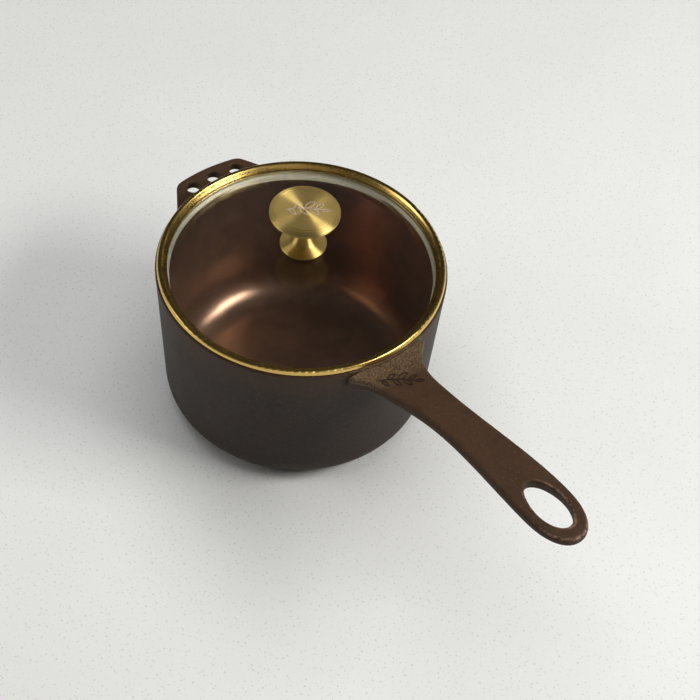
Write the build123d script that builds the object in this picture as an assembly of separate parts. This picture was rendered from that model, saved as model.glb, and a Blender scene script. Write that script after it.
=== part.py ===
from build123d import *
from math import cos, hypot, pi, radians, sin, sqrt, tan
import os

# Saucepan with glass lid, all sizes in millimetres.
# The origin is the middle of the flat base. +Z is up, the long handle points along +X
# and the helper ear along -X. The lid lifts straight up along +Z.

# ---- pan -------------------------------------------------------------------------
pan_height = 125.6                 # table to the top of the rim
rim_outer_radius = 101.3
base_outer_radius = 94.8           # where the tapered wall would meet the table
wall_thickness = 4.0
floor_thickness = 5.0
outer_corner_radius = 25.0         # wall to base, outside
inner_corner_radius = 26.0         # wall to floor, inside
rim_edge_round = 0.9

# ---- long handle -----------------------------------------------------------------
handle_length = 189.8              # from the rim to the tip
handle_root_drop = 3.4             # top of the handle root below the rim
handle_rise = 27.3                 # tip above the root
handle_thickness = 8.6             # at the root
handle_tip_thickness = 7.4
handle_neck_width = 28.2
handle_grip_width = 36.2
handle_edge_round = 3.0
handle_tip_start = 0.836           # where the rounding of the tip begins, of its length
handle_root_half_width = 31.0      # half the spread of the flare at the rim
handle_root_depth = 3.5            # extra depth of the root where it meets the wall
hang_slot_half_length = 19.9
hang_slot_half_width = 10.7
hang_slot_end_wall = 10.6          # metal left between the slot and the tip
hang_slot_egg = 1.1                # the slot is a little wider towards the tip
hang_slot_edge_round = 1.6

# ---- helper ear ------------------------------------------------------------------
ear_reach = 21.3                   # beyond the rim
ear_drop = 7.0                     # top of the ear below the rim
ear_thickness = 6.5
ear_tip_half_width = 24.8
ear_root_half_width = 42.0
ear_corner_radius = 10.0
ear_edge_round = 1.9
ear_hole_radius = 4.9
ear_hole_spacing = 18.2            # along the arc that the holes stand on
ear_hole_edge_wall = 10.6          # from the hole centres to the ear's outer edge
ear_hole_edge_round = 1.3
ear_hole_count = 3

# ---- lid: sheet-metal rim band ---------------------------------------------------
lid_seat_gap = 0.2                 # between the pan's rim and the band
lid_overhang_inset = 0.9           # the band stands this far inside the pan's outer edge
band_sheet = 0.7
band_height = 3.9                  # crest above the seat
band_crest_width = 3.4             # from the outer wall to the crest's inner side
band_outer_round = 1.3             # middle of the sheet, at the outer shoulder
band_wall_lean = 1.0               # the outer wall leans in this much towards the crest
band_groove_inset = 5.7            # valley between crest and lip, inside the outer wall
band_lip_width = 1.4               # flat lip that lies over the glass
skirt_depth = 10.9                 # below the seat, inside the pan
skirt_straight = 6.2               # upright part of the skirt, beside the glass's edge
skirt_lean = 3.3                   # the skirt narrows this much on its way down
skirt_curl = 1.0                   # inward turn at the skirt's lower edge
bore_clearance = 0.9               # between the top of the skirt and the pan's bore

# ---- lid: glass and its liner ----------------------------------------------------
glass_thickness = 4.0
glass_rise = 21.7                  # apex above the glass's edge
glass_edge_depth = 1.1             # top of the glass's edge below the seat
glass_edge_inset = 5.5             # glass's edge inside the band's outer wall
glass_flange_width = 5.5           # flatter border next to the band
glass_flange_angle = 5.0           # degrees
glass_bend_radius = 12.0           # on the upper face, where dome and border meet
glass_edge_round = 1.3
glass_hole_radius = 4.2
glass_hole_round = 0.7
liner_thickness = 0.45
liner_reach = 1.6                  # how far the liner wraps over the glass
lip_gap = 0.04                     # between the liner and the band's lip

# ---- knob and its fixing ---------------------------------------------------------
knob_height = 32.8
knob_cap_radius = 24.1
knob_disc_radius = 20.0            # flat turned disc on top
knob_cap_bevel_drop = 1.6          # disc to the cap's widest edge
knob_cap_side = 2.2                # upright side of the cap
knob_groove_width = 0.5
knob_groove_depth = 0.3
knob_neck_radius = 5.7
knob_foot_radius = 16.1
knob_foot_edge = 1.5
upper_gasket_thickness = 0.8
upper_gasket_radius = 13.5
lower_gasket_thickness = 1.0
lower_gasket_radius = 8.5
sleeve_wall = 1.1
sleeve_clearance = 0.2             # sleeve in the glass's hole
cup_washer_thickness = 1.0
cup_washer_radius = 9.0
lock_washer_thickness = 1.2
lock_washer_wall = 1.9
lock_washer_split = 1.0
screw_radius = 2.5
screw_length = 18.0
screw_head_radius = 4.7
screw_head_height = 3.2
screw_recess_width = 1.1
screw_recess_length = 5.2
screw_recess_depth = 1.8
fastener_clearance = 0.15
thread_clearance = 0.04
thread_end_gap = 2.0               # blind hole deeper than the screw reaches

# ---- places worked out from the sizes above --------------------------------------
seat_z = pan_height + lid_seat_gap
wall_slope = (rim_outer_radius - base_outer_radius) / pan_height
rim_inner_radius = rim_outer_radius - wall_thickness
handle_tip_x = rim_outer_radius + handle_length
handle_top_z = pan_height - handle_root_drop
ear_outer_radius = rim_outer_radius + ear_reach
ear_top_z = pan_height - ear_drop
ear_hole_circle = ear_outer_radius - ear_hole_edge_wall
band_outer_radius = rim_outer_radius - lid_overhang_inset
skirt_radius = rim_inner_radius - bore_clearance - band_sheet / 2
glass_edge_radius = band_outer_radius - glass_edge_inset
glass_edge_z = seat_z - glass_edge_depth
glass_apex_z = glass_edge_z + glass_rise
knob_foot_z = glass_apex_z + upper_gasket_thickness
sleeve_radius = glass_hole_radius - sleeve_clearance
screw_bore_radius = sleeve_radius - sleeve_wall
lower_gasket_z = glass_apex_z - glass_thickness - lower_gasket_thickness
cup_washer_z = lower_gasket_z - cup_washer_thickness
lock_washer_z = cup_washer_z - lock_washer_thickness
screw_head_z = lock_washer_z - screw_head_height


def wall_radius(z):
    """Outer radius of the pan's tapered wall at a height."""
    return base_outer_radius + wall_slope * z


def turned(face):
    """A solid turned round the Z axis from a half section drawn in X and Z."""
    return revolve(Plane.XZ * face, Axis.Z, 360)


def vessel():
    """The pan's bowl: tapered wall, rounded corners, flat base and rim."""
    outside = Polyline(
        (0, 0),
        (base_outer_radius, 0),
        (rim_outer_radius, pan_height),
        (0, pan_height),
        close=True,
    )
    inside = Polyline(
        (0, floor_thickness),
        (wall_radius(floor_thickness) - wall_thickness, floor_thickness),
        (rim_inner_radius + wall_slope, pan_height + 1),
        (0, pan_height + 1),
        close=True,
    )
    shell = make_face(outside)
    corner = shell.vertices().sort_by(Axis.Y)[:2].sort_by(Axis.X)[-1]
    shell = fillet(corner, outer_corner_radius)
    hollow = make_face(inside)
    floor_corner = hollow.vertices().sort_by(Axis.Y)[:2].sort_by(Axis.X)[-1]
    hollow = fillet(floor_corner, inner_corner_radius)
    section = shell - hollow
    rim_corners = section.vertices().sort_by(Axis.Y)[-2:]
    return turned(fillet(rim_corners, rim_edge_round))


def handle_stations():
    """Places along the handle as (share of its length, half width, height of the top)."""
    neck = handle_neck_width / 2
    grip = handle_grip_width / 2
    return [
        (0.10, neck + 4.3, 0.02),
        (0.19, neck + 1.6, 0.19),
        (0.34, neck, 0.48),
        (0.50, neck + 0.9, 0.71),
        (0.66, neck + 2.9, 0.87),
        (0.81, grip, 0.96),
    ]


def handle_plan():
    """Outline of the long handle from above, with its flare at the rim."""
    root = [
        (rim_outer_radius - 6.0, handle_root_half_width + 5.0),
        (rim_outer_radius, handle_root_half_width - 1.5),
        (rim_outer_radius + 6.0, handle_root_half_width - 7.4),
    ]
    side = [(rim_outer_radius + s * handle_length, w) for s, w, h in handle_stations()]
    grip = handle_grip_width / 2
    rounding = handle_length * (1 - handle_tip_start)
    nose = []
    for turn in (35, 57, 76):
        x = handle_tip_x - rounding * (1 - sin(radians(turn)))
        nose.append((x, grip * cos(radians(turn)) ** 0.9))
    left = root + side + nose
    right = [(x, -w) for x, w in reversed(left)]
    rail = Spline(*left, (handle_tip_x, 0), *right, tangents=[(1, -1), (-1, -1)])
    back = Line(rail @ 1, rail @ 0)
    return make_face(rail + back)


def handle_side():
    """Outline of the long handle from the side: a low root that rises to the tip."""
    stations = handle_stations()
    top = [
        (rim_outer_radius + s * handle_length, handle_top_z + h * handle_rise)
        for s, w, h in stations
    ]
    tip_top = (handle_tip_x + 2.0, handle_top_z + handle_rise)
    taper = (handle_thickness - handle_tip_thickness) / handle_length
    low = [(x, z - handle_thickness + taper * (x - rim_outer_radius)) for x, z in top[1:]]
    low_tip = (tip_top[0], tip_top[1] - handle_tip_thickness)
    inner_x = rim_outer_radius - wall_thickness / 2
    shoulder = (inner_x, pan_height - rim_edge_round)
    saddle = (rim_outer_radius + 8.5, handle_top_z + 0.1)
    top_line = Spline(shoulder, saddle, *top, tip_top)
    web = (rim_outer_radius + 9.0, handle_top_z - handle_thickness - 0.8)
    web_foot = (inner_x, handle_top_z - handle_thickness - handle_root_depth)
    low_line = Spline(low_tip, *reversed(low), web, web_foot, tangents=[(-1, -0.06), (-1, -0.5)])
    ends = Line(top_line @ 1, low_line @ 0) + Line(low_line @ 1, top_line @ 0)
    return make_face(top_line + low_line + ends)


def hang_slot_outline():
    """Egg-shaped hanging slot near the handle's tip."""
    centre = handle_tip_x - hang_slot_end_wall - hang_slot_half_length
    points = []
    for step in range(12):
        turn = 2 * pi * step / 12
        half_width = hang_slot_half_width + hang_slot_egg * cos(turn)
        points.append((centre + hang_slot_half_length * cos(turn), half_width * sin(turn)))
    return make_face(Spline(*points, periodic=True))


def long_handle():
    """The cast handle, rounded along its edges and open at the hanging slot."""
    column = extrude(handle_plan(), pan_height + 2 * handle_rise, dir=(0, 0, 1))
    side = Pos(0, 2 * handle_root_half_width, 0) * (Plane.XZ * handle_side())
    slab = extrude(side, 4 * handle_root_half_width, dir=(0, -1, 0))
    blank = column & slab
    rails = blank.edges().filter_by(lambda edge: edge.length > 2 * handle_length)
    blank = fillet(rails, handle_edge_round)
    slot = extrude(hang_slot_outline(), pan_height + 2 * handle_rise, dir=(0, 0, 1))
    opened = blank - slot
    slot_edges = opened.edges().filter_by(
        lambda edge: edge.center().X > handle_tip_x - 3.5 * hang_slot_half_length
        and abs(edge.center().Y) < handle_edge_round
        and edge.length > 4 * hang_slot_half_length
        and edge.bounding_box().max.X < handle_tip_x - hang_slot_end_wall / 2
    )
    return fillet(slot_edges, hang_slot_edge_round)


def helper_ear():
    """Flat ear opposite the handle, with a row of round holes along an arc."""
    root_x = rim_outer_radius - 7.0
    side_slope = (ear_root_half_width - ear_tip_half_width) / (ear_outer_radius - root_x)
    outline = Polyline(
        (-root_x, -ear_root_half_width),
        (-root_x, ear_root_half_width),
        (-ear_outer_radius - 5, ear_tip_half_width - 5 * side_slope),
        (-ear_outer_radius - 5, -ear_tip_half_width + 5 * side_slope),
        close=True,
    )
    plan = make_face(outline) & Circle(ear_outer_radius)
    corners = plan.vertices().sort_by(Axis.X)[:2]
    plan = fillet(corners, ear_corner_radius)
    plate = Pos(0, 0, ear_top_z - ear_thickness) * extrude(plan, ear_thickness, dir=(0, 0, 1))
    rims = plate.edges().group_by(Axis.Z)[0] + plate.edges().group_by(Axis.Z)[-1]
    rims = rims.filter_by(lambda edge: edge.center().X < -root_x - 1)
    plate = fillet(rims, ear_edge_round)
    pitch = ear_hole_spacing / ear_hole_circle
    for index in range(ear_hole_count):
        turn = pi + (index - (ear_hole_count - 1) / 2) * pitch
        x = ear_hole_circle * cos(turn)
        y = ear_hole_circle * sin(turn)
        hole = Pos(x, y, ear_top_z) * Cylinder(ear_hole_radius, 4 * ear_thickness)
        plate = plate - hole
        mouth = plate.edges().filter_by(GeomType.CIRCLE).filter_by(
            lambda edge: abs(edge.radius - ear_hole_radius) < 0.01
            and hypot(edge.arc_center.X - x, edge.arc_center.Y - y) < 0.1
        )
        plate = fillet(mouth, ear_hole_edge_round)
    return plate


def pan_casting():
    """Bowl, long handle and helper ear, poured as one casting."""
    bowl = vessel()
    cavity_section = make_face(
        Polyline(
            (0, floor_thickness + 20),
            (wall_radius(0) - wall_thickness / 2, floor_thickness + 20),
            (rim_outer_radius - wall_thickness / 2, pan_height + 2 * handle_rise),
            (0, pan_height + 2 * handle_rise),
            close=True,
        )
    )
    cavity = turned(cavity_section)
    grips = (long_handle() - cavity) + (helper_ear() - cavity)
    return bowl + grips


def band_section():
    """Section of the rolled rim band: lip, groove, crest, outer wall, seat and skirt."""
    half = band_sheet / 2
    wall = band_outer_radius - half
    crest_inner = wall - band_crest_width + half
    groove = band_outer_radius - band_groove_inset
    lip = groove - band_lip_width
    slope = tan(radians(glass_flange_angle))
    lip_z = glass_edge_z + slope * (glass_edge_radius - lip) + liner_thickness + lip_gap + half
    top = seat_z + band_height - half
    path = FilletPolyline(
        (lip, lip_z),
        (groove, lip_z + 0.05),
        (groove + 0.45 * (crest_inner - groove), seat_z + band_height / 2),
        (crest_inner, top),
        (wall - band_wall_lean, top),
        (wall, seat_z + half),
        (skirt_radius, seat_z + half),
        (skirt_radius, seat_z - skirt_straight),
        (skirt_radius - skirt_lean, seat_z - skirt_depth + skirt_curl / 2),
        (skirt_radius - skirt_lean - skirt_curl, seat_z - skirt_depth + half),
        radius=(0.5, 1.6, 1.0, band_outer_round, 0.6, 0.5, 1.5, 0.6),
    )
    return make_face(offset(path, half, side=Side.BOTH))


def glass_section():
    """Section of the domed glass disc with its flatter border, and the dome's radius."""
    slope = tan(radians(glass_flange_angle))
    bend_x = glass_edge_radius - glass_flange_width
    bend_z = glass_edge_z + glass_flange_width * slope
    dome_drop = glass_apex_z - bend_z
    sphere = (bend_x**2 + dome_drop**2) / (2 * dome_drop)
    centre_z = glass_apex_z - sphere
    inner = sphere - glass_thickness
    sunk = glass_thickness / cos(radians(glass_flange_angle))
    level = glass_edge_z - sunk + glass_edge_radius * slope - centre_z
    root = sqrt((slope * level) ** 2 - (1 + slope**2) * (level**2 - inner**2))
    under_x = (slope * level + root) / (1 + slope**2)
    under_z = centre_z + level - slope * under_x
    hole_top = (glass_hole_radius, centre_z + sqrt(sphere**2 - glass_hole_radius**2))
    hole_low = (glass_hole_radius, centre_z + sqrt(inner**2 - glass_hole_radius**2))
    edge_top = (glass_edge_radius, glass_edge_z)
    edge_low = (glass_edge_radius, glass_edge_z - sunk)
    upper = RadiusArc(hole_top, (bend_x, bend_z), sphere)
    border = Polyline((bend_x, bend_z), edge_top, edge_low, (under_x, under_z))
    under = RadiusArc((under_x, under_z), hole_low, -inner)
    section = make_face(upper + border + under + Line(hole_low, hole_top))
    roundings = [
        (edge_top, glass_edge_round),
        (edge_low, glass_edge_round),
        (hole_top, glass_hole_round),
        (hole_low, glass_hole_round),
        ((bend_x, bend_z), glass_bend_radius),
        ((under_x, under_z), glass_bend_radius + glass_thickness),
    ]
    for place, radius in roundings:
        corner = section.vertices().sort_by_distance(Vertex(*place))[0]
        section = fillet(corner, radius)
    return section, sphere


def liner_section(glass):
    """Section of the thin liner that wraps the glass's edge inside the band."""
    jacket = offset(glass, liner_thickness, kind=Kind.ARC)
    reach = liner_reach + liner_thickness
    window = Pos(glass_edge_radius - liner_reach + reach / 2, glass_edge_z) * Rectangle(
        reach, 6 * glass_thickness
    )
    return (jacket & window) - glass


def knob_section():
    """Half section of the turned knob, from its foot to the flat top."""
    top = knob_foot_z + knob_height
    side_top = top - knob_cap_bevel_drop
    side_low = side_top - knob_cap_side
    neck_low = knob_foot_z + 0.30 * knob_height
    neck_high = knob_foot_z + 0.66 * knob_height
    foot_edge = (knob_foot_radius, knob_foot_z + knob_foot_edge)
    flare_low = Spline(
        foot_edge,
        (knob_neck_radius + 3.0, knob_foot_z + 0.125 * knob_height),
        (knob_neck_radius, neck_low),
        tangents=[(-1, 0.16), (0, 1)],
    )
    neck = Line((knob_neck_radius, neck_low), (knob_neck_radius, neck_high))
    flare_high = Spline(
        (knob_neck_radius, neck_high),
        (knob_neck_radius + 4.4, side_low - 2.0),
        (knob_cap_radius - 0.6, side_low),
        tangents=[(0, 1), (1, 0.1)],
    )
    cap = Polyline(
        (knob_cap_radius - 0.6, side_low),
        (knob_cap_radius, side_low + 0.6),
        (knob_cap_radius, side_top),
    )
    bevel = RadiusArc(
        (knob_cap_radius, side_top), (knob_disc_radius + 0.5, top - 0.1), -2 * knob_cap_bevel_drop - 3
    )
    groove_out = knob_disc_radius
    groove_in = knob_disc_radius - knob_groove_width
    land = Polyline(
        (knob_disc_radius + 0.5, top - 0.1),
        (groove_out, top),
        (groove_out, top - knob_groove_depth),
        (groove_in, top - knob_groove_depth),
        (groove_in, top),
        (0, top),
    )
    foot = Polyline((0, top), (0, knob_foot_z), (knob_foot_radius, knob_foot_z), foot_edge)
    return make_face(flare_low + neck + flare_high + cap + bevel + land + foot)


def knob():
    """Solid turned knob with a blind threaded hole up its middle."""
    body = turned(knob_section())
    reach = screw_length - (knob_foot_z - cup_washer_z) + lock_washer_thickness
    depth = reach + thread_end_gap
    bore = Pos(0, 0, knob_foot_z) * Cylinder(
        screw_radius + thread_clearance, depth, align=(Align.CENTER, Align.CENTER, Align.MIN)
    )
    return body - bore


def dome_cap(sphere, top_z):
    """Solid ball under a spherical surface whose top is at a height on the axis."""
    return Pos(0, 0, top_z - sphere) * Sphere(sphere)


def ring(inner, outer, low, high):
    """Flat ring about the Z axis."""
    height = high - low
    disc = Pos(0, 0, low) * Cylinder(outer, height, align=(Align.CENTER, Align.CENTER, Align.MIN))
    hole = Pos(0, 0, low) * Cylinder(inner, height, align=(Align.CENTER, Align.CENTER, Align.MIN))
    return disc - hole


def upper_gasket(sphere):
    """Soft washer between the knob's foot and the glass, following the dome."""
    washer = ring(sleeve_radius, upper_gasket_radius, glass_apex_z - 1, knob_foot_z)
    return washer - dome_cap(sphere, glass_apex_z)


def lower_gasket(sphere):
    """Soft top-hat washer: a flange under the glass and a sleeve through its hole."""
    sag = lower_gasket_radius**2 / (2 * (sphere - glass_thickness))
    under = glass_apex_z - glass_thickness - sag
    flange = ring(screw_bore_radius, lower_gasket_radius, lower_gasket_z, under)
    sleeve = ring(screw_bore_radius, sleeve_radius, lower_gasket_z, knob_foot_z)
    return flange + sleeve


def cup_washer():
    """Metal washer that spreads the screw's pull, with its edge turned down."""
    inner = screw_radius + fastener_clearance
    turn = cup_washer_thickness
    section = Polyline(
        (inner, cup_washer_z),
        (inner, lower_gasket_z),
        (cup_washer_radius - turn, lower_gasket_z),
        (cup_washer_radius, lower_gasket_z - turn),
        (cup_washer_radius, cup_washer_z - turn),
        (cup_washer_radius - turn, cup_washer_z),
        close=True,
    )
    return turned(make_face(section))


def lock_washer():
    """Split spring washer under the screw's head."""
    inner = screw_radius + fastener_clearance
    body = ring(inner, inner + lock_washer_wall, lock_washer_z, cup_washer_z)
    middle = inner + lock_washer_wall / 2
    split = Pos(middle, 0, lock_washer_z) * Rot(30, 0, 0) * Box(
        2 * lock_washer_wall, lock_washer_split, 6 * lock_washer_thickness
    )
    return body - split


def knob_screw():
    """Pan-head screw from below, with a cross recess."""
    corner = 1.2
    section = FilletPolyline(
        (0, screw_head_z),
        (screw_head_radius - 0.6, screw_head_z),
        (screw_head_radius, lock_washer_z),
        (screw_radius, lock_washer_z),
        (screw_radius, lock_washer_z + screw_length - 0.5),
        (screw_radius - 0.5, lock_washer_z + screw_length),
        (0, lock_washer_z + screw_length),
        radius=(corner, 0.2, 0, 0, 0),
    )
    axis_line = Line((0, lock_washer_z + screw_length), (0, screw_head_z))
    body = turned(make_face(section + axis_line))
    for turn in (45, 135):
        blade = Rot(0, 0, turn) * Box(screw_recess_length, screw_recess_width, 2 * screw_recess_depth)
        body = body - Pos(0, 0, screw_head_z) * blade
    return body


def save(name, shape):
    """Write one node."""
    shape.label = name
    export_step(shape, os.path.join("parts", name + ".step"))


os.makedirs("parts", exist_ok=True)
glass_face, dome_radius = glass_section()
save("pan_casting", pan_casting())
save("lid_glass", turned(glass_face))
save("lid_rim_band", turned(band_section()))
save("rim_liner", turned(liner_section(glass_face)))
save("knob", knob())
save("upper_gasket", upper_gasket(dome_radius))
save("lower_gasket", lower_gasket(dome_radius))
save("cup_washer", cup_washer())
save("lock_washer", lock_washer())
save("knob_screw", knob_screw())
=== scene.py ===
from math import cos, pi, radians, sin
from types import SimpleNamespace

import bmesh
import bpy
from bpy.props import FloatProperty, FloatVectorProperty, IntProperty, PointerProperty
from bpy.types import Operator, Panel, PropertyGroup
from mathutils import Matrix, Vector
from mathutils.bvhtree import BVHTree


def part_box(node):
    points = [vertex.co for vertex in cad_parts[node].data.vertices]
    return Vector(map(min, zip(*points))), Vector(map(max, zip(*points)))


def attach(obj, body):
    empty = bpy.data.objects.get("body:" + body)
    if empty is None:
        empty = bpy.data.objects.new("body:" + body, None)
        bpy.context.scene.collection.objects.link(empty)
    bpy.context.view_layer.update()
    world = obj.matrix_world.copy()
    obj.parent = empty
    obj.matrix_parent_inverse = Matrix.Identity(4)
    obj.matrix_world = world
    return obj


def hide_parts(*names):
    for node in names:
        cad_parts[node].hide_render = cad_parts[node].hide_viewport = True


bl_info = {
    "name": "Saucepan with glass lid",
    "version": (1, 0, 0),
    "blender": (4, 5, 0),
    "location": "View3D > Sidebar > Saucepan",
    "description": "Finishes and turned parts for a cast saucepan with a domed glass lid",
    "category": "Object",
}

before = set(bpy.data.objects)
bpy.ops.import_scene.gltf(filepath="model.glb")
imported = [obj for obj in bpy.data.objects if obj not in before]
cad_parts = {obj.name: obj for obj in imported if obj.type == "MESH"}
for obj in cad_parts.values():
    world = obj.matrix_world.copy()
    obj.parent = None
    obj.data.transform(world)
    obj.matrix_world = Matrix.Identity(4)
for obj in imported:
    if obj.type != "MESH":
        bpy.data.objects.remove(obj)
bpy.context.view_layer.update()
PAN = "pan_casting"
GLASS = "lid_glass"
BAND = "lid_rim_band"
KNOB = "knob"
LINER = "rim_liner"
SOFT_RINGS = ("upper_gasket", "lower_gasket")
STEEL_PARTS = ("cup_washer", "lock_washer", "knob_screw")
KNOB_LOW, KNOB_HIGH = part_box(KNOB)
BAND_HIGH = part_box(BAND)[1]

# Turned knob and leaf sprigs, in metres.
DISC_SKIN = 0.00008  # the turned disc lies this far under the CAD's top
CAP_DROP = 0.0016  # from the top down to the cap's upright side
CAP_SIDE = 0.0022  # height of the upright side
ROUNDING_FACES = 3500  # faces for each metre of a rounding's length
ETCH_HEIGHT = 0.00004
SPRIG_SPOT = (0.1175, -0.0045)  # middle of the cast sprig on the handle's root
SPRIG_HEADING = radians(54)  # both sprigs lie at this angle to the handle's line
LEAVES = 7
LEAF_SPREAD = radians(44)  # each side leaf's angle to the stem

# Where the finishes change, in metres: each pair starts and ends a smooth change.
WALL_TAPER = 0.0517  # the wall's gain in radius for each unit of height
BORE_SPLIT = (0.0922, 0.0932)  # inner to outer wall, as the radius at the base
FLOOR_SKIN = (0.0035, 0.0045)  # height, under the bowl's floor
BASE_CORNER = (0.0300, 0.0310)  # height, above the rounding of the base
HANDLE_START = (0.1030, 0.1180)  # x, from the wall to the handle
EAR_START = (-0.1100, -0.1010)  # x, from the ear to the wall
ROOT_START = (0.0990, 0.1030)  # x, where the golden root begins
ROOT_END = (0.1110, 0.1210)  # x, where it fades into the handle
FLARE_START = (0.0930, 0.0960)  # x, of the root's part on the rim
FLARE_HEIGHT = (0.1185, 0.1205)
FLARE_SIDE = (0.0270, 0.0340)  # distance to either side of the handle's line
RIM_GLOW_HEIGHT = (0.0900, 0.1240)  # height, where the painted glow of the band's bounced light grows towards the rim
SLOT_EDGE_START = (0.1470, 0.1487)  # height, up to the handle's upper edges
SLOT_EDGE_END = (0.1487, 0.1493)  # height, where the tip's rubbing gets fainter
TIP_CENTRE = 0.2660  # x
TIP_HALF_WIDTH = 0.0168
TIP_LENGTH = 0.0240
TIP_START = (0.262, 0.276)  # x
LIP_HEIGHT = 0.0039  # the band's top above its seat on the rim
SKIRT_EDGE = (0.0962, 0.0966)  # distance from the axis

# Camera, in metres and radians.
CAMERA_SPOT = Vector((0.65923, -0.50311, 1.01633))
CAMERA_AIM = Vector((0.08247, -0.01886, 0.12840))
CAMERA_ROLL = radians(5.318)


# ---- sizes and colours a user would change ---------------------------------------


def size(name, description, default, low=0.0, high=1.0):
    """A length in metres."""
    return FloatProperty(
        name=name,
        description=description,
        default=default,
        min=low,
        max=high,
        precision=5,
        unit="LENGTH",
    )


def share(name, description, default):
    """A share from 0 to 1."""
    return FloatProperty(
        name=name, description=description, default=default, min=0.0, max=1.0, subtype="FACTOR"
    )


def colour(name, description, default):
    """A colour without alpha."""
    return FloatVectorProperty(
        name=name, description=description, default=default, size=3, min=0, max=1, subtype="COLOR"
    )


class SaucepanSizes(PropertyGroup):
    """Sizes of the turned knob, its marks and the cast sprig."""

    cap_radius: size("Cap radius", "Widest radius of the knob", KNOB_HIGH.x)
    knob_height: size("Knob height", "Foot to flat top", KNOB_HIGH.z - KNOB_LOW.z)
    disc_radius: size("Disc radius", "Flat turned disc on the knob", 0.0200)
    neck_radius: size("Neck radius", "Narrowest part of the knob", 0.0057)
    foot_radius: size("Foot radius", "Flared foot of the knob", 0.0161)
    groove_width: size("Groove width", "Turned groove round the disc", 0.0005)
    groove_depth: size("Groove depth", "Depth of the turned groove", 0.0003)
    bore_radius: size("Bore radius", "Blind threaded hole", 0.00254)
    bore_depth: size("Bore depth", "Depth of the blind hole", 0.0144)
    sprig_length: size("Sprig length", "Leaf sprig from end to end", 0.0300)
    etched_line: size("Etched line", "Width of the sprig's lines on the knob", 0.00040)
    cast_line: size("Cast line", "Width of the sprig's lines on the handle", 0.00075)
    cast_relief: size("Cast relief", "How far the handle's sprig stands up", 0.00045)
    turning_steps: IntProperty(
        name="Turning steps", description="Faces round a turned piece", default=192, min=24
    )


class SaucepanColours(PropertyGroup):
    """Colours of the saucepan's finishes."""

    iron_wall: colour("Outer wall", "Seasoned iron of the wall", (0.031, 0.020, 0.013))
    iron_handle: colour("Handle", "Seasoned iron of the handle", (0.046, 0.027, 0.016))
    # painted light: warm brown that stands in for the brass band's bounced glow on the wall under
    # the rim
    rim_glow_tint: colour("Painted rim glow", "Painted warm glow of the band's bounced light", (0.070, 0.032, 0.015))
    iron_root: colour("Handle root", "Golden brown at the root", (0.135, 0.085, 0.045))
    iron_inside: colour("Inside", "Bronzed seasoning in the bowl", (0.265, 0.150, 0.095))
    iron_worn: colour("Worn edge", "Rubbed edges of the handle", (0.420, 0.255, 0.175))
    band_gold: colour("Rim band", "Polished rim band", (0.760, 0.520, 0.160))
    skirt_grey: colour("Skirt", "Plain sheet inside the pan", (0.470, 0.430, 0.340))
    knob_brass: colour("Knob", "Spin-turned brass", (0.840, 0.610, 0.210))
    etched: colour("Etched lines", "Sprig lines on the knob", (0.560, 0.430, 0.390))
    glass: colour("Glass", "Clear tempered glass", (0.960, 0.975, 0.965))
    silicone: colour("Silicone", "Dark soft rings", (0.022, 0.020, 0.019))
    liner: colour("Liner", "Thin pale ring between band and glass", (0.420, 0.350, 0.200))
    steel: colour("Steel", "Stainless fixings", (0.560, 0.560, 0.550))
    floor: colour("Floor", "Pale plain floor", (0.825, 0.830, 0.810))


class SaucepanStudio(PropertyGroup):
    """Lights and floor."""

    floor_size: size("Floor size", "Side of the square floor", 6.0, 1.0, 20.0)
    key_power: FloatProperty(
        name="Key light", description="Softbox at the right", default=19.0, unit="POWER"
    )
    side_power: FloatProperty(
        name="Side light", description="Softbox at the left", default=4.5, unit="POWER"
    )
    top_power: FloatProperty(
        name="Top light", description="Large soft light overhead", default=42.0, unit="POWER"
    )
    brass_power: FloatProperty(
        name="Brass light", description="Softbox that only the knob sees", default=4.2, unit="POWER"
    )
    band_power: FloatProperty(
        name="Band light",
        description="Softbox that only the rim band sees",
        default=5.0,
        unit="POWER",
    )
    lens: FloatProperty(name="Lens", description="Focal length", default=90.3, unit="CAMERA")
    gloom: share("Room", "Brightness of the dark room round the stage", 0.035)


# ---- node helpers ----------------------------------------------------------------


def node(tree, kind, inputs=None, **settings):
    """A new shader node with its settings, plain values and links in place."""
    made = tree.nodes.new("ShaderNode" + kind)
    for name, value in settings.items():
        setattr(made, name, value)
    for name, value in (inputs or {}).items():
        socket = made.inputs[name]
        if isinstance(value, bpy.types.NodeSocket):
            tree.links.new(value, socket)
        else:
            socket.default_value = value
    return made


def math(tree, operation, a, b=0.0, clamp=False):
    """Result of a Math node."""
    return node(tree, "Math", {0: a, 1: b}, operation=operation, use_clamp=clamp).outputs[0]


def ramp(tree, value, start, end, low=0.0, high=1.0):
    """Value carried smoothly from low at start to high at end."""
    made = node(tree, "MapRange", {"Value": value}, interpolation_type="SMOOTHSTEP")
    for name, number in (("From Min", start), ("From Max", end), ("To Min", low), ("To Max", high)):
        made.inputs[name].default_value = number
    return made.outputs["Result"]


def blend(tree, factor, a, b, mode="MIX"):
    """Mix of two colours."""
    made = node(tree, "Mix", data_type="RGBA", blend_type=mode)
    for socket, value in ((made.inputs[0], factor), (made.inputs[6], a), (made.inputs[7], b)):
        if isinstance(value, bpy.types.NodeSocket):
            tree.links.new(value, socket)
        elif isinstance(value, float):
            socket.default_value = value
        else:
            socket.default_value = (*value, 1.0)
    return made.outputs[2]


def shaded(tree, shade, amount):
    """A colour made lighter or darker by an amount about 1."""
    grey = node(tree, "CombineColor", {0: amount, 1: amount, 2: amount}).outputs[0]
    return blend(tree, 1.0, shade, grey, "MULTIPLY")


def noise(tree, vector, scale, detail=3.0, rough=0.55):
    """Noise value."""
    made = node(tree, "TexNoise", {"Vector": vector, "Detail": detail, "Roughness": rough})
    if isinstance(scale, bpy.types.NodeSocket):
        tree.links.new(scale, made.inputs["Scale"])
    else:
        made.inputs["Scale"].default_value = scale
    return made.outputs["Fac"]


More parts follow.
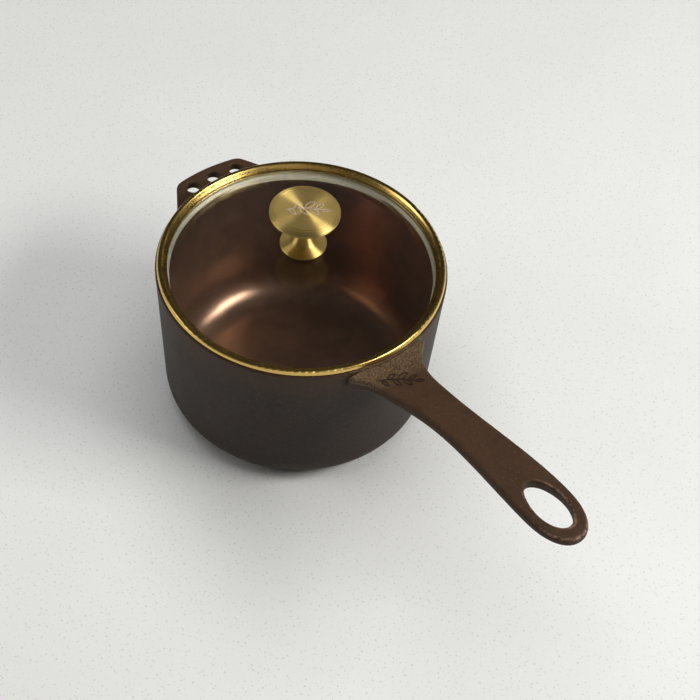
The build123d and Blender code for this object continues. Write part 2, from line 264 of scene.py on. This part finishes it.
def place(tree):
    """Object coordinates, their x, y and z, and their distance (reach) from the Z axis."""
    point = node(tree, "TexCoord").outputs["Object"]
    parts = node(tree, "SeparateXYZ", {0: point}).outputs
    flat = node(tree, "CombineXYZ", {"X": parts["X"], "Y": parts["Y"]}).outputs[0]
    reach = node(tree, "VectorMath", {0: flat}, operation="LENGTH").outputs["Value"]
    return SimpleNamespace(point=point, x=parts["X"], y=parts["Y"], z=parts["Z"], reach=reach)


def new_group(name, inputs, outputs):
    """Empty shader node group with named inputs and outputs."""
    tree = bpy.data.node_groups.new(name, "ShaderNodeTree")
    for label, default in inputs:
        made = tree.interface.new_socket(label, in_out="INPUT", socket_type="NodeSocketFloat")
        made.default_value = default
    for label in outputs:
        tree.interface.new_socket(label, in_out="OUTPUT", socket_type="NodeSocketFloat")
    return tree, tree.nodes.new("NodeGroupInput").outputs, tree.nodes.new("NodeGroupOutput").inputs


def shared(name, build):
    """A node group, built once."""
    return bpy.data.node_groups.get(name) or build(name)


def use(tree, group, **values):
    """A node group placed in a material with its own values."""
    made = tree.nodes.new("ShaderNodeGroup")
    made.node_tree = group
    for name, value in values.items():
        made.inputs[name.replace("_", " ")].default_value = value
    return made.outputs


def cast_grain(name="Cast grain"):
    """Sand-cast skin: fine pebbles over slow swells, patchy colour, and dots for painted glints."""

    def build(label):
        inputs = (("Pebbles", 900.0), ("Swells", 120.0))
        tree, given, out = new_group(label, inputs, ("Height", "Patch", "Grit", "Glint"))
        point = node(tree, "TexCoord").outputs["Object"]
        fine = noise(tree, point, given["Pebbles"], 4.0, 0.6)
        slow = noise(tree, point, given["Swells"], 2.0)
        tree.links.new(math(tree, "ADD", fine, math(tree, "MULTIPLY", slow, 0.6)), out["Height"])
        tree.links.new(noise(tree, point, given["Pebbles"], 3.0, 0.75), out["Grit"])
        patch = noise(tree, point, 28.0, 5.0, 0.6)
        tree.links.new(ramp(tree, patch, 0.33, 0.68), out["Patch"])
        # painted glints: small dots that stand in for highlights on the cast pebbles
        dots = node(tree, "TexVoronoi", {"Vector": point, "Scale": 330.0}).outputs["Distance"]
        tree.links.new(ramp(tree, dots, 0.10, 0.22, 1.0, 0.0), out["Glint"])
        return tree

    return shared(name, build)


def turned_lines(name="Turned lines"):
    """Fine rings about the Z axis left by a lathe tool or a polishing wheel."""

    def build(label):
        inputs = (("Spacing", 4200.0), ("Wander", 30.0))
        tree, given, out = new_group(label, inputs, ("Height", "Streak"))
        at = place(tree)
        across = node(tree, "CombineXYZ", {"X": at.reach, "Z": at.z}).outputs[0]
        lines = noise(tree, across, given["Spacing"], 2.0, 0.7)
        coarse = noise(tree, across, math(tree, "MULTIPLY", given["Spacing"], 0.22), 2.0, 0.6)
        drift = noise(tree, at.point, given["Wander"], 2.0)
        both = math(tree, "ADD", lines, math(tree, "MULTIPLY", coarse, 0.8))
        tree.links.new(both, out["Height"])
        tree.links.new(math(tree, "MULTIPLY", both, drift), out["Streak"])
        return tree

    return shared(name, build)


def handling(name="Handling marks"):
    """Faint smears and dust that break up a gloss."""

    def build(label):
        tree, given, out = new_group(label, (("Size", 60.0),), ("Smear", "Dust"))
        point = node(tree, "TexCoord").outputs["Object"]
        smear = noise(tree, point, given["Size"], 6.0, 0.65)
        tree.links.new(ramp(tree, smear, 0.35, 0.75), out["Smear"])
        fleck = noise(tree, point, math(tree, "MULTIPLY", given["Size"], 22.0), 1.0)
        tree.links.new(ramp(tree, fleck, 0.66, 0.74), out["Dust"])
        return tree

    return shared(name, build)


def rubbed_slot(name="Rubbed slot"):
    """Mask of the rubbed edges round the hanging slot and along the handle's tip."""

    def build(label):
        inputs = (("Slot centre", 0.2606), ("Half length", 0.0199), ("Half width", 0.0107))
        tree, given, out = new_group(label, inputs, ("Slot edge", "Tip edge"))
        at = place(tree)
        along = math(tree, "SUBTRACT", at.x, given["Slot centre"])
        a = math(tree, "DIVIDE", along, given["Half length"])
        b = math(tree, "DIVIDE", at.y, given["Half width"])
        oval = math(tree, "SQRT", math(tree, "ADD", math(tree, "POWER", a, 2.0),
                                       math(tree, "POWER", b, 2.0)))
        inner = math(tree, "MULTIPLY", ramp(tree, oval, 0.99, 1.03),
                     ramp(tree, oval, 1.05, 1.16, 1.0, 0.0))
        grain = noise(tree, at.point, 260.0, 4.0, 0.7)
        patchy = ramp(tree, grain, 0.40, 0.62)
        high = ramp(tree, at.z, *SLOT_EDGE_START)
        tree.links.new(math(tree, "MULTIPLY", math(tree, "MULTIPLY", inner, patchy), high),
                       out["Slot edge"])
        ahead = math(tree, "SUBTRACT", at.x, TIP_CENTRE)
        side = math(tree, "POWER", math(tree, "DIVIDE", at.y, TIP_HALF_WIDTH), 2.0)
        nose = math(tree, "POWER", math(tree, "DIVIDE", ahead, TIP_LENGTH), 2.0)
        rim = math(tree, "SQRT", math(tree, "ADD", side, nose))
        outer = math(tree, "MULTIPLY", ramp(tree, rim, 0.93, 1.0), ramp(tree, at.x, *TIP_START))
        low = math(tree, "MULTIPLY", high, ramp(tree, at.z, *SLOT_EDGE_END, 1.0, 0.4))
        tree.links.new(math(tree, "MULTIPLY", math(tree, "MULTIPLY", outer, patchy), low),
                       out["Tip edge"])
        return tree

    return shared(name, build)


def new_material(name):
    """Material with one Principled shader, and its tree and shader."""
    material = bpy.data.materials.new(name)
    material.use_nodes = True
    tree = material.node_tree
    return material, tree, tree.nodes["Principled BSDF"]


def feed(tree, shader, **values):
    """Links sockets and sets plain values on a Principled shader."""
    for name, value in values.items():
        socket = shader.inputs[name.replace("_", " ")]
        if isinstance(value, bpy.types.NodeSocket):
            tree.links.new(value, socket)
        elif hasattr(value, "__len__"):
            socket.default_value = (*value, 1.0)
        else:
            socket.default_value = value


def bump(tree, height, distance, strength=1.0):
    """Normal from a height."""
    values = {"Height": height, "Distance": distance, "Strength": strength}
    return node(tree, "Bump", values).outputs[0]


# ---- finishes --------------------------------------------------------------------


def seasoned_iron(tint):
    """Cast iron, brown and low in sheen outside, bronzed and smooth inside the bowl."""
    material, tree, shader = new_material("seasoned_iron")
    grain = use(tree, cast_grain(), Pebbles=820.0, Swells=150.0)
    worn = use(tree, rubbed_slot())
    at = place(tree)
    wall = math(tree, "SUBTRACT", at.reach, math(tree, "MULTIPLY", at.z, WALL_TAPER))
    inside = math(tree, "MULTIPLY", ramp(tree, wall, *BORE_SPLIT, 1.0, 0.0),
                  ramp(tree, at.z, *FLOOR_SKIN))
    facing = node(tree, "NewGeometry").outputs["Normal"]
    top_side = node(tree, "SeparateXYZ", {0: facing}).outputs["Z"]
    above_base = math(tree, "MAXIMUM", ramp(tree, at.z, *BASE_CORNER),
                      ramp(tree, top_side, -0.03, 0.03))
    inside = math(tree, "MULTIPLY", inside, above_base)
    outside = math(tree, "SUBTRACT", 1.0, inside)
    handle = ramp(tree, at.x, *HANDLE_START)
    ear = ramp(tree, at.x, *EAR_START, 1.0, 0.0)
    root = ramp(tree, at.x, *ROOT_START)
    flare = math(tree, "MULTIPLY", ramp(tree, at.z, *FLARE_HEIGHT),
                 ramp(tree, math(tree, "ABSOLUTE", at.y), *FLARE_SIDE, 1.0, 0.0))
    flare = math(tree, "MULTIPLY", flare, ramp(tree, at.x, *FLARE_START))
    root = math(tree, "MULTIPLY", root, ramp(tree, top_side, 0.2, 0.7))
    root = math(tree, "MAXIMUM", root, flare)
    root = math(tree, "MULTIPLY", root, ramp(tree, at.x, *ROOT_END, 1.0, 0.0))
    # painted glow: the outer wall turns browner towards the rim, in place of light the brass band
    # throws back onto it
    rim_glow_mask = math(tree, "MULTIPLY", ramp(tree, at.z, *RIM_GLOW_HEIGHT), outside)
    shade = blend(tree, math(tree, "MAXIMUM", handle, ear), tint.iron_wall, tint.iron_handle)
    shade = blend(tree, math(tree, "MULTIPLY", rim_glow_mask, 0.45), shade, tint.rim_glow_tint)
    shade = blend(tree, math(tree, "MULTIPLY", root, 0.8), shade, tint.iron_root)
    shade = blend(tree, inside, shade, tint.iron_inside)
    patch = ramp(tree, grain["Patch"], 0.0, 1.0, 0.86, 1.08)
    shade = shaded(tree, shade, patch)
    depth = ramp(tree, root, 0.0, 1.0, 0.16, 0.60)
    depth = math(tree, "MULTIPLY", depth, math(tree, "MULTIPLY", outside, 2.0))
    grit = math(tree, "SUBTRACT", ramp(tree, grain["Grit"], 0.30, 0.70), 0.5)
    grit = math(tree, "MULTIPLY", grit, depth)
    shade = shaded(tree, shade, math(tree, "ADD", grit, 1.0))
    # painted glints: golden dots over the outer skin, in place of the pebbles' highlights
    painted_glint = math(tree, "MULTIPLY", math(tree, "MULTIPLY", grain["Glint"], outside), 0.35)
    shade = blend(tree, painted_glint, shade, tint.iron_root)
    rub = math(tree, "MAXIMUM", worn["Slot edge"], worn["Tip edge"])
    shade = blend(tree, math(tree, "MULTIPLY", rub, 0.75), shade, tint.iron_worn)
    rough = math(tree, "ADD", ramp(tree, inside, 0.0, 1.0, 0.53, 0.28),
                 math(tree, "MULTIPLY", grain["Patch"], ramp(tree, inside, 0.0, 1.0, 0.08, 0.0)))
    rough = math(tree, "ADD", rough, math(tree, "MULTIPLY", handle, 0.07))
    rough = math(tree, "SUBTRACT", rough, math(tree, "MULTIPLY", root, 0.12))
    metal = math(tree, "ADD", math(tree, "MULTIPLY", inside, 0.80),
                 math(tree, "MULTIPLY", math(tree, "MAXIMUM", rub, root), 0.35), clamp=True)
    skin = math(tree, "ADD", math(tree, "MULTIPLY", outside, 1.05),
                math(tree, "MULTIPLY", root, 1.9))
    skin = math(tree, "SUBTRACT", skin, math(tree, "MULTIPLY", handle, 0.30))
    height = math(tree, "MULTIPLY", grain["Height"], skin)
    feed(tree, shader, Base_Color=shade, Roughness=rough, Metallic=metal, Specular_IOR_Level=0.25,
         Coat_Weight=math(tree, "MULTIPLY", inside, 0.35), Coat_Roughness=0.30,
         Normal=bump(tree, height, 0.00030))
    return material


def clear_glass(tint):
    """Tempered glass that lets the lights through to what lies under it."""
    material, tree, shader = new_material("clear_glass")
    marks = use(tree, handling(), Size=9.0)
    haze = tuple(0.985 * c for c in tint.glass)
    shade = blend(tree, marks["Smear"], tint.glass, haze)
    feed(tree, shader, Base_Color=shade, Roughness=0.0, IOR=1.5, Transmission_Weight=1.0)
    clear = node(tree, "BsdfTransparent", {"Color": (*tint.glass, 1.0)})
    path = node(tree, "LightPath").outputs["Is Shadow Ray"]
    both = node(tree, "MixShader", {0: path, 1: shader.outputs[0], 2: clear.outputs[0]})
    tree.links.new(both.outputs[0], tree.nodes["Material Output"].inputs["Surface"])
    return material


def polished_band(tint):
    """Rolled sheet, gold outside and on top, plainer grey on the skirt in the pan."""
    material, tree, shader = new_material("polished_band")
    lines = use(tree, turned_lines(), Spacing=5200.0, Wander=40.0)
    marks = use(tree, handling(), Size=70.0)
    at = place(tree)
    seat = BAND_HIGH.z - LIP_HEIGHT
    skirt = math(tree, "MULTIPLY", ramp(tree, at.z, seat - 0.0012, seat - 0.0004, 1.0, 0.0),
                 ramp(tree, at.reach, *SKIRT_EDGE, 1.0, 0.0))
    shade = blend(tree, skirt, tint.band_gold, tint.skirt_grey)
    rough = math(tree, "ADD", math(tree, "MULTIPLY", lines["Streak"], 0.10),
                 math(tree, "MULTIPLY", marks["Smear"], 0.05))
    rough = math(tree, "ADD", rough, ramp(tree, skirt, 0.0, 1.0, 0.22, 0.42))
    metal = ramp(tree, skirt, 0.0, 1.0, 1.0, 0.35)
    feed(tree, shader, Base_Color=shade, Roughness=rough, Metallic=metal,
         Normal=bump(tree, lines["Height"], 0.000002))
    return material


def turned_brass(tint):
    """Spin-turned brass with fine rings that fan the light out."""
    material, tree, shader = new_material("turned_brass")
    lines = use(tree, turned_lines(), Spacing=6500.0, Wander=50.0)
    marks = use(tree, handling(), Size=90.0)
    tone = ramp(tree, lines["Streak"], 0.25, 0.75, 0.90, 1.06)
    shade = shaded(tree, tint.knob_brass, tone)
    rough = math(tree, "ADD", math(tree, "MULTIPLY", marks["Smear"], 0.05), 0.43)
    feed(tree, shader, Base_Color=shade, Roughness=rough, Metallic=1.0, Anisotropic=0.95,
         Anisotropic_Rotation=0.25, Normal=bump(tree, lines["Height"], 0.000012))
    ring_way = node(tree, "Tangent", direction_type="RADIAL", axis="Z")
    tree.links.new(ring_way.outputs[0], shader.inputs["Tangent"])
    return material


def etched_brass(tint):
    """Pale matt lines burnt into the brass."""
    material, tree, shader = new_material("etched_brass")
    marks = use(tree, handling(), Size=400.0)
    rough = math(tree, "ADD", math(tree, "MULTIPLY", marks["Smear"], 0.2), 0.5)
    feed(tree, shader, Base_Color=tint.etched, Roughness=rough, Metallic=0.15)
    return material


def dark_silicone(tint):
    """Soft dark rings, matt with a little dust."""
    material, tree, shader = new_material("dark_silicone")
    grain = use(tree, cast_grain(), Pebbles=2600.0, Swells=300.0)
    marks = use(tree, handling(), Size=120.0)
    rough = math(tree, "ADD", math(tree, "MULTIPLY", marks["Dust"], 0.15), 0.62)
    feed(tree, shader, Base_Color=tint.silicone, Roughness=rough,
         Normal=bump(tree, grain["Height"], 0.00002))
    return material


def pale_silicone(tint):
    """Thin pale liner with a little dust."""
    material, tree, shader = new_material("pale_silicone")
    marks = use(tree, handling(), Size=150.0)
    rough = math(tree, "ADD", math(tree, "MULTIPLY", marks["Dust"], 0.15), 0.45)
    feed(tree, shader, Base_Color=tint.liner, Roughness=rough)
    return material


def stainless_steel(tint):
    """Plain stainless fixings with turned faces."""
    material, tree, shader = new_material("stainless_steel")
    lines = use(tree, turned_lines(), Spacing=7000.0, Wander=80.0)
    rough = math(tree, "ADD", math(tree, "MULTIPLY", lines["Streak"], 0.2), 0.24)
    feed(tree, shader, Base_Color=tint.steel, Roughness=rough, Metallic=1.0,
         Normal=bump(tree, lines["Height"], 0.000008))
    return material


def pale_stone(tint):
    """Pale floor with a few faint specks."""
    material, tree, shader = new_material("pale_stone")
    point = node(tree, "TexCoord").outputs["Object"]
    fleck = ramp(tree, noise(tree, point, 560.0, 0.0), 0.70, 0.76)
    cloud = ramp(tree, noise(tree, point, 9.0, 3.0), 0.3, 0.7, 0.0, 0.06)
    grey = tuple(0.62 * c for c in tint.floor)
    marks = math(tree, "MAXIMUM", math(tree, "MULTIPLY", fleck, 0.55), cloud)
    shade = blend(tree, marks, tint.floor, grey)
    feed(tree, shader, Base_Color=shade, Roughness=0.8)
    return material


def finish(obj, material):
    """Gives a piece one material."""
    obj.data.materials.clear()
    obj.data.materials.append(material)


# ---- mesh helpers ----------------------------------------------------------------


def to_object(bm, name, crease=30.0):
    """A smooth-shaded object from a bmesh, with its sharp edges kept."""
    bmesh.ops.recalc_face_normals(bm, faces=bm.faces)
    mesh = bpy.data.meshes.new(name)
    bm.to_mesh(mesh)
    bm.free()
    mesh.shade_smooth()
    mesh.set_sharp_from_angle(angle=radians(crease))
    obj = bpy.data.objects.new(name, mesh)
    bpy.context.scene.collection.objects.link(obj)
    return obj


def rounded_chain(bm, corners):
    """A chain of edges in the XZ plane from (x, z, rounding length), with its corners rounded."""
    verts = [bm.verts.new((x, 0.0, z)) for x, z, cut in corners]
    for a, b in zip(verts[:-1], verts[1:]):
        bm.edges.new((a, b))
    for vert, (x, z, cut) in zip(verts, corners):
        if cut:
            bmesh.ops.bevel(
                bm,
                geom=[vert],
                offset=cut,
                offset_type="OFFSET",
                segments=max(3, int(cut * ROUNDING_FACES)),
                profile=0.5,
                affect="VERTICES",
                material=-1,
            )


def turned(name, corners, steps):
    """A solid turned about the Z axis from a rounded chain of corners."""
    bm = bmesh.new()
    rounded_chain(bm, corners)
    bmesh.ops.spin(
        bm,
        geom=bm.verts[:] + bm.edges[:],
        cent=(0, 0, 0),
        axis=(0, 0, 1),
        angle=2 * pi,
        steps=steps,
        use_merge=True,
    )
    bmesh.ops.remove_doubles(bm, verts=bm.verts, dist=1e-7)
    return to_object(bm, name)


def leaf(bm, length, width, line):
    """Outline of one leaf lying flat, its stalk at the origin and its tip along +X."""
    made = bmesh.ops.create_circle(bm, cap_ends=True, segments=22, radius=0.5)["verts"]
    face = made[0].link_faces[0]
    for vert in made:
        vert.co.y *= 1.0 - 0.55 * abs(2 * vert.co.x) ** 3
    bmesh.ops.scale(bm, vec=(length, width, 1), verts=made)
    bmesh.ops.inset_region(
        bm, faces=[face], thickness=line, use_even_offset=True, use_boundary=True
    )
    every = list({v for f in face.edges for v in f.verts} | set(made))
    bmesh.ops.delete(bm, geom=[face], context="FACES_ONLY")
    bmesh.ops.translate(bm, vec=(length / 2, 0, 0), verts=every)
    return every


def sprig(name, length, line, relief, centre, heading, level):
    """A leaf sprig in outline, laid on a surface whose height at (x, y) is level(x, y)."""
    bm = bmesh.new()
    stem = bmesh.ops.create_grid(bm, x_segments=30, y_segments=1, size=0.5)["verts"]
    bmesh.ops.scale(bm, vec=(length * 0.86, line, 1), verts=stem)
    bow = 0.10 * length

    def stem_y(x):
        return bow * (1 - (2 * x / length) ** 2) - bow / 2

    for vert in stem:
        vert.co.y += stem_y(vert.co.x)
    last = LEAVES - 1
    for index in range(LEAVES):
        x = length * (-0.36 + 0.72 * index / last)
        side = 1 if index % 2 else -1
        grown = 0.30 * length * (1 - 0.25 * abs(index - last / 2) / (last / 2))
        verts = leaf(bm, grown, 0.44 * grown, line)
        turn = 0.0 if index == last else side * LEAF_SPREAD
        bmesh.ops.rotate(bm, cent=(0, 0, 0), matrix=Matrix.Rotation(turn, 3, "Z"), verts=verts)
        bmesh.ops.translate(bm, vec=(x, stem_y(x), 0), verts=verts)
    bmesh.ops.rotate(bm, cent=(0, 0, 0), matrix=Matrix.Rotation(heading, 3, "Z"), verts=bm.verts)
    bmesh.ops.translate(bm, vec=(centre[0], centre[1], 0), verts=bm.verts)
    bmesh.ops.recalc_face_normals(bm, faces=bm.faces)
    for face in bm.faces:
        if face.normal.z < 0:
            face.normal_flip()
    for vert in bm.verts:
        vert.co.z = level(vert.co.x, vert.co.y)
    low = bm.verts[:]
    lifted = bmesh.ops.extrude_face_region(bm, geom=bm.faces[:])["geom"]
    top = [v for v in lifted if isinstance(v, bmesh.types.BMVert)]
    bmesh.ops.translate(bm, vec=(0, 0, relief), verts=top)
    bmesh.ops.translate(bm, vec=(0, 0, -relief), verts=[v for v in low if v.is_valid])
    return to_object(bm, name, 40.0)


def surface_level(node_name):
    """A function that gives the height of a CAD node's upper surface at (x, y)."""
    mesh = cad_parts[node_name].data
    mesh.calc_loop_triangles()
    tree = BVHTree.FromPolygons(
        [v.co for v in mesh.vertices], [tuple(t.vertices) for t in mesh.loop_triangles]
    )

    def level(x, y):
        hit = tree.ray_cast(Vector((x, y, 1.0)), Vector((0, 0, -1)))[0]
        return hit.z

    return level


# ---- operators -------------------------------------------------------------------


class SAUCEPAN_OT_casting(Operator):
    """Finish the iron casting: bowl, long handle and helper ear"""

    bl_idname = "saucepan.casting"
    bl_label = "Iron casting"

    def execute(self, context):
        finish(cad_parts[PAN], seasoned_iron(context.scene.saucepan_colours))
        return {"FINISHED"}


class SAUCEPAN_OT_handle_sprig(Operator):
    """Lay the cast leaf sprig on the handle's root"""

    bl_idname = "saucepan.handle_sprig"
    bl_label = "Cast sprig"

    def execute(self, context):
        sizes = context.scene.saucepan_sizes
        piece = sprig(
            "handle_sprig",
            sizes.sprig_length,
            sizes.cast_line,
            sizes.cast_relief,
            SPRIG_SPOT,
            SPRIG_HEADING,
            surface_level(PAN),
        )
        finish(piece, bpy.data.materials["seasoned_iron"])
        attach(piece, "pan")
        return {"FINISHED"}


class SAUCEPAN_OT_lid_glass(Operator):
    """Finish the domed glass"""

    bl_idname = "saucepan.lid_glass"
    bl_label = "Lid glass"

    def execute(self, context):
        finish(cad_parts[GLASS], clear_glass(context.scene.saucepan_colours))
        return {"FINISHED"}


class SAUCEPAN_OT_rim_band(Operator):
    """Finish the rolled rim band"""

    bl_idname = "saucepan.rim_band"
    bl_label = "Rim band"

    def execute(self, context):
        finish(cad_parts[BAND], polished_band(context.scene.saucepan_colours))
        return {"FINISHED"}


class SAUCEPAN_OT_knob(Operator):
    """Turn the brass knob"""

    bl_idname = "saucepan.knob"
    bl_label = "Turned knob"

    def execute(self, context):
        sizes = context.scene.saucepan_sizes
        foot = KNOB_LOW.z
        top = foot + sizes.knob_height - DISC_SKIN
        side_top = foot + sizes.knob_height - CAP_DROP
        side_low = side_top - CAP_SIDE
        disc = sizes.disc_radius
        groove = sizes.groove_depth
        edge = sizes.groove_width
        corners = (
            (0.0, foot + sizes.bore_depth, 0),
            (sizes.bore_radius, foot + sizes.bore_depth, 0),
            (sizes.bore_radius, foot, 0.0002),
            (sizes.foot_radius, foot, 0.0003),
            (sizes.foot_radius, foot + 0.0015, 0.0003),
            (sizes.neck_radius + 0.0028, foot + 0.0042, 0.0012),
            (sizes.neck_radius + 0.0003, foot + 0.0085, 0.0016),
            (sizes.neck_radius, foot + 0.0220, 0.0012),
            (sizes.neck_radius + 0.0024, foot + 0.0262, 0.0032),
            (sizes.cap_radius - 0.0006, side_low, 0.00012),
            (sizes.cap_radius, side_low + 0.0005, 0.00010),
            (sizes.cap_radius, side_top - 0.0001, 0.00012),
            (disc + 0.0022, top - 0.00075, 0.0001),
            (disc + 0.0021, top - 0.00082, 0),
            (disc + 0.0019, top - 0.00082, 0),
            (disc + 0.0018, top - 0.00064, 0),
            (disc + 0.0005, top - 0.00012, 0.0001),
            (disc + 0.0003, top - groove, 0.00005),
            (disc - edge, top - groove, 0.00005),
            (disc - edge - 0.00012, top, 0.00005),
            (disc - 0.00155, top, 0),
            (disc - 0.00160, top - 0.00010, 0),
            (disc - 0.00182, top - 0.00010, 0),
            (disc - 0.00187, top, 0),
            (0.0, top, 0),
        )
        piece = turned("knob_turned", corners, sizes.turning_steps)
        finish(piece, turned_brass(context.scene.saucepan_colours))
        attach(piece, "lid")
        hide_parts(KNOB)
        return {"FINISHED"}


class SAUCEPAN_OT_knob_sprig(Operator):
    """Etch the leaf sprig on the knob's disc"""

    bl_idname = "saucepan.knob_sprig"
    bl_label = "Etched sprig"

    def execute(self, context):
        sizes = context.scene.saucepan_sizes
        top = KNOB_LOW.z + sizes.knob_height - DISC_SKIN
        piece = sprig(
            "knob_sprig",
            sizes.sprig_length,
            sizes.etched_line,
            ETCH_HEIGHT,
            (0.0, 0.0),
            SPRIG_HEADING,
            lambda x, y: top,
        )
        finish(piece, etched_brass(context.scene.saucepan_colours))
        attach(piece, "lid")
        return {"FINISHED"}


class SAUCEPAN_OT_fixings(Operator):
    """Finish the soft rings, washers and screw that hold the glass and the knob"""

    bl_idname = "saucepan.fixings"
    bl_label = "Rings and fixings"

    def execute(self, context):
        tint = context.scene.saucepan_colours
        soft = dark_silicone(tint)
        hard = stainless_steel(tint)
        finish(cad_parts[LINER], pale_silicone(tint))
        for name in SOFT_RINGS:
            finish(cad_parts[name], soft)
        for name in STEEL_PARTS:
            finish(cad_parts[name], hard)
        return {"FINISHED"}


def softbox(name, azimuth, elevation, reach, sides, power, tone, aim=(0.0, 0.0, 0.10)):
    """Area light that faces the saucepan from a direction given in degrees."""
    lamp = bpy.data.lights.new(name, "AREA")
    lamp.shape = "RECTANGLE"
    lamp.size, lamp.size_y = sides
    lamp.energy = power
    lamp.color = tone
    level = cos(radians(elevation))
    turn = radians(azimuth)
    way = Vector((level * cos(turn), level * sin(turn), sin(radians(elevation))))
    obj = bpy.data.objects.new(name, lamp)
    obj.location = Vector(aim) + reach * way
    obj.rotation_euler = way.to_track_quat("Z", "Y").to_euler()
    bpy.context.scene.collection.objects.link(obj)
    return obj


def only_on(lamp, label, names):
    """Keeps a light to the named pieces."""
    lit = bpy.data.collections.new(label)
    for name in names:
        lit.objects.link(bpy.data.objects[name])
    lamp.light_linking.receiver_collection = lit


class SAUCEPAN_OT_studio(Operator):
    """Set the pale floor, the soft lights and the camera"""

    bl_idname = "saucepan.studio"
    bl_label = "Studio"

    def execute(self, context):
        scene = context.scene
        studio = scene.saucepan_studio
        bm = bmesh.new()
        bmesh.ops.create_grid(bm, x_segments=1, y_segments=1, size=studio.floor_size / 2)
        floor = to_object(bm, "stage_floor")
        finish(floor, pale_stone(scene.saucepan_colours))
        softbox("key_light", 38.6, 39, 1.7, (0.85, 0.45), studio.key_power, (1.0, 0.985, 0.955))
        softbox("side_light", 238, 24, 1.6, (0.80, 0.50), studio.side_power, (1.0, 0.97, 0.93))
        top = softbox("top_light", 150, 80, 2.4, (2.6, 2.6), studio.top_power, (0.985, 0.99, 1.0))
        top.visible_glossy = False
        top.visible_transmission = False
        warm = (1.0, 0.99, 0.96)
        gleam = softbox("brass_light", 140, 50, 2.2, (1.5, 1.0), studio.brass_power, warm)
        gleam.visible_transmission = False
        only_on(gleam, "Knob", ("knob_turned", "knob_sprig"))
        glow = softbox("band_light", -30, 24, 2.2, (1.8, 1.0), studio.band_power, (1.0, 0.98, 0.94))
        glow.visible_transmission = False
        only_on(glow, "Band", (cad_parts[BAND].name,))
        world = bpy.data.worlds.new("Dark room")
        world.use_nodes = True
        gloom = studio.gloom
        world.node_tree.nodes["Background"].inputs[0].default_value = (gloom, gloom, gloom, 1.0)
        scene.world = world
        camera = bpy.data.cameras.new("camera")
        camera.lens = studio.lens
        camera.sensor_width = 36.0
        stand = bpy.data.objects.new("camera", camera)
        turn = (CAMERA_SPOT - CAMERA_AIM).to_track_quat("Z", "Y").to_matrix().to_4x4()
        turn = turn @ Matrix.Rotation(CAMERA_ROLL, 4, "Z")
        stand.matrix_world = Matrix.Translation(CAMERA_SPOT) @ turn
        scene.collection.objects.link(stand)
        scene.camera = stand
        scene.view_settings.view_transform = "Standard"
        return {"FINISHED"}


class SAUCEPAN_PT_panel(Panel):
    """Lists the saucepan's pieces, sizes and colours"""

    bl_idname = "SAUCEPAN_PT_panel"
    bl_label = "Saucepan"
    bl_space_type = "VIEW_3D"
    bl_region_type = "UI"
    bl_category = "Saucepan"

    def draw(self, context):
        layout = self.layout
        for step in STEPS:
            layout.operator(step.bl_idname)
        for group in ("saucepan_sizes", "saucepan_colours", "saucepan_studio"):
            settings = getattr(context.scene, group)
            column = layout.column()
            for name in settings.__annotations__:
                column.prop(settings, name)


STEPS = (
    SAUCEPAN_OT_casting,
    SAUCEPAN_OT_handle_sprig,
    SAUCEPAN_OT_lid_glass,
    SAUCEPAN_OT_rim_band,
    SAUCEPAN_OT_knob,
    SAUCEPAN_OT_knob_sprig,
    SAUCEPAN_OT_fixings,
    SAUCEPAN_OT_studio,
)
GROUPS = (
    ("saucepan_sizes", SaucepanSizes),
    ("saucepan_colours", SaucepanColours),
    ("saucepan_studio", SaucepanStudio),
)


def register():
    """Registers every class and hangs the settings on the scene."""
    for name, group in GROUPS:
        bpy.utils.register_class(group)
        setattr(bpy.types.Scene, name, PointerProperty(type=group))
    for step in STEPS:
        bpy.utils.register_class(step)
    bpy.utils.register_class(SAUCEPAN_PT_panel)


def unregister():
    """Takes everything out again."""
    bpy.utils.unregister_class(SAUCEPAN_PT_panel)
    for step in reversed(STEPS):
        bpy.utils.unregister_class(step)
    for name, group in reversed(GROUPS):
        delattr(bpy.types.Scene, name)
        bpy.utils.unregister_class(group)


def main():
    """Makes the whole saucepan."""
    register()
    for step in STEPS:
        area, name = step.bl_idname.split(".")
        getattr(getattr(bpy.ops, area), name)()


if __name__ == "__main__":
    main()
